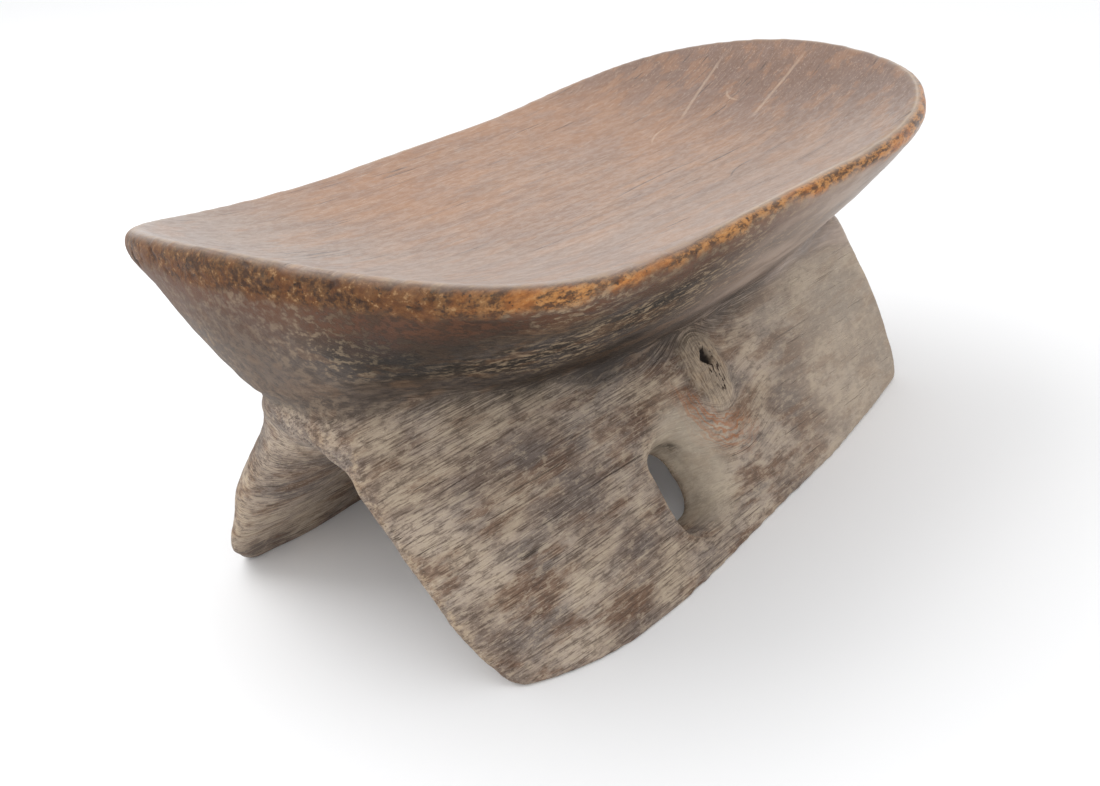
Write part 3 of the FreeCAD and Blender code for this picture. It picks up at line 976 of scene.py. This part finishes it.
def surface_colour(tree, place, grain, age, knot, axes):
    leg = knot_colour(tree, knot, leg_colour(tree, grain, age, knot, axes))
    # Darker in the hollows and along the crease: dirt and painted shade.
    hollows = maths(tree, "MAXIMUM", painted(tree, "hollow"), painted(tree, "crease"))
    dirt_and_shade = times(tree, hollows, spread(tree, grain["Fibres"], 0.46, 0.6, 0.85, 0.3))
    # Pale on convex edges: wear and a painted highlight.
    wear_and_highlight = times(tree, painted(tree, "rubbed_and_highlit"), spread(tree, age["Mottle"], 0.42, 0.62, 0.05, 0.35))
    wear_and_highlight = times(tree, wear_and_highlight, spread(tree, axes["Z"], 0.012, 0.03))
    wear_and_highlight = times(tree, wear_and_highlight, spread(tree, painted(tree, "gold"), 0.0, 1.0, 1.0, 0.3))
    return layered(tree, hull_colour(tree, grain, age, axes), [
        (painted(tree, "legs"), leg),
        (painted(tree, "gold"), rim_colour(tree, age, axes, place)),
        (painted(tree, "polish"), seat_colour(tree, grain, age, axes)),
        (dirt_and_shade, rgb(40, 30, 21)),
        (wear_and_highlight, rgb(196, 170, 138)),
        # The knot's hole and the pit in the back foot are painted nearly black: painted shade in their depth.
        (painted(tree, "hole"), rgb(26, 18, 13)),
    ])


def polish_of(tree, axes):
    """How polished a place is: the seat, then the right end of the hull, the rim and the hull."""
    hull = maths(tree, "SUBTRACT", 1.0, painted(tree, "legs"))
    right_end = times(tree, spread(tree, axes["X"], 0.03, 0.15), hull)
    polish = maths(tree, "MAXIMUM", painted(tree, "polish"), times(tree, painted(tree, "gold"), 0.2))
    polish = maths(tree, "MAXIMUM", polish, times(tree, right_end, 0.8))
    return maths(tree, "MAXIMUM", polish, times(tree, hull, 0.15))


def relief(tree, grain, age, knot):
    """The height of the grain: fibres stand up, and pores, cracks and scratches go in."""
    height = maths(tree, "ADD", grain["Fibres"], grain["Streaks"])
    height = maths(tree, "SUBTRACT", height, times(tree, grain["Pores"], 0.5))
    height = maths(tree, "SUBTRACT", height, times(tree, grain["Cracks"], 1.2))
    height = maths(tree, "ADD", height, times(tree, age["Mottle"], 0.8))
    height = maths(tree, "SUBTRACT", height, times(tree, age["Scratches"], 0.35))
    height = times(tree, height, spread(tree, painted(tree, "polish"), 0, 1, RELIEF_DRY, RELIEF_POLISHED))
    stub = times(tree, knot["Body"], painted(tree, "near_knot"))
    height = maths(tree, "ADD", height, times(tree, times(tree, knot["Fibres"], stub), 1.6))
    return maths(tree, "SUBTRACT", height, times(tree, knot["Cracks"], 2.5))


def wood_finish(name):
    material = bpy.data.materials.new(name)
    material.use_nodes = True
    tree = material.node_tree
    tree.nodes.clear()
    place = add(tree, "ShaderNodeTexCoord").outputs["Object"]
    axes = add(tree, "ShaderNodeSeparateXYZ", {0: place}).outputs
    grain = group_node(tree, GRAIN, {"Vector": painted(tree, "grain", "Vector")}).outputs
    age = group_node(tree, AGE, {"Vector": place}).outputs
    knot = group_node(tree, KNOT_MARKS, {"Map": painted(tree, "knot_map", "Vector")}).outputs
    polish = polish_of(tree, axes)
    rough = maths(tree, "ADD", spread(tree, polish, 0.0, 1.0, 0.72, 0.42),
                  spread(tree, age["Mottle"], 0.4, 0.6, -0.06, 0.08))
    sheen = times(tree, polish, spread(tree, age["Mottle"], 0.4, 0.6, 0.75, 0.55))
    normal = add(tree, "ShaderNodeBump", {"Height": relief(tree, grain, age, knot),
                                          "Strength": BUMP_STRENGTH, "Distance": BUMP_DEPTH}).outputs[0]
    shader = add(tree, "ShaderNodeBsdfPrincipled",
                 {"Base Color": surface_colour(tree, place, grain, age, knot, axes), "Roughness": rough,
                  "Normal": normal, "IOR": 1.36, "Coat Weight": sheen, "Coat Roughness": 0.3,
                  "Coat IOR": 1.5})
    out = tree.nodes.new("ShaderNodeOutputMaterial")
    tree.links.new(shader.outputs[0], out.inputs["Surface"])
    return material


FINISHES = {
    "polished_seat": wood_finish("Polished seat wood"),
    "hull_wood": wood_finish("Smoked hull wood"),
    "leg_wood": wood_finish("Weathered leg wood"),
    "knot_wood": wood_finish("Grey knot wood"),
}
FINISH_OF = {"seat_plate": "polished_seat", "seat_hull": "hull_wood", "branch_knot": "knot_wood",
             "waist": "leg_wood", "front_leg": "leg_wood", "back_leg": "leg_wood"}
for name, piece in members.items():
    piece.data.materials.clear()
    piece.data.materials.append(FINISHES[FINISH_OF[name]])
    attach(piece, "root")
    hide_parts(name)
print("finishes:", sorted(FINISHES))

# %% [markdown]
# A white table and a broad soft light from above and behind the left end give the even,
# bright look of a studio. The wide lamp makes the soft sheen on the polished seat, and the
# pale surroundings keep the shadows light. The camera stands in front of the left end, a
# little above the seat, and looks down along the front leg.

# %% Table, lights and camera
floor_shape = bmesh.new()
bmesh.ops.create_grid(floor_shape, x_segments=1, y_segments=1, size=6.0)
floor_mesh = bpy.data.meshes.new("Table")
floor_shape.to_mesh(floor_mesh)
floor_shape.free()
table = new_object("Table", floor_mesh)
white = bpy.data.materials.new("Table white")
white.use_nodes = True
table_shader = white.node_tree.nodes["Principled BSDF"]
table_shader.inputs["Base Color"].default_value = (0.90, 0.905, 0.915, 1)
table_shader.inputs["Roughness"].default_value = 0.7
table_shader.inputs["Emission Color"].default_value = (0.95, 0.97, 1.0, 1)
table_shader.inputs["Emission Strength"].default_value = 0.04
table.data.materials.append(white)

world = bpy.data.worlds.new("Studio")
world.use_nodes = True
world.node_tree.nodes["Background"].inputs["Color"].default_value = (1.0, 1.0, 1.0, 1)
world.node_tree.nodes["Background"].inputs["Strength"].default_value = 0.95
bpy.context.scene.world = world
bpy.context.scene.view_settings.view_transform = "Standard"


def soft_light(name, place, aim, size, power):
    lamp = bpy.data.lights.new(name, "AREA")
    lamp.shape = "RECTANGLE"
    lamp.size, lamp.size_y = size
    lamp.energy = power
    made = bpy.data.objects.new(name, lamp)
    bpy.context.scene.collection.objects.link(made)
    made.location = place
    made.rotation_euler = (Vector(aim) - Vector(place)).to_track_quat("-Z", "Y").to_euler()
    return made


soft_light("Overhead", (-0.35, 0.75, 1.25), (0, 0, 0.1), (1.3, 1.0), 9)
soft_light("Left fill", (-1.1, -0.5, 0.8), (0, 0, 0.1), (0.9, 0.9), 2.4)

lens = bpy.data.cameras.new("Camera")
lens.sensor_width = 36
lens.lens = 44.715
camera = bpy.data.objects.new("Camera", lens)
bpy.context.scene.collection.objects.link(camera)
right = Vector((0.64689, -0.76056, -0.05555))
up_way = Vector((0.35810, 0.23865, 0.90267))
back = right.cross(up_way)
turned = Matrix((right, up_way, back)).transposed().to_4x4()
camera.matrix_world = Matrix.Translation((-0.45532, -0.38891, 0.32459)) @ turned
bpy.context.scene.camera = camera
print("camera looks along", [round(v, 3) for v in -back])
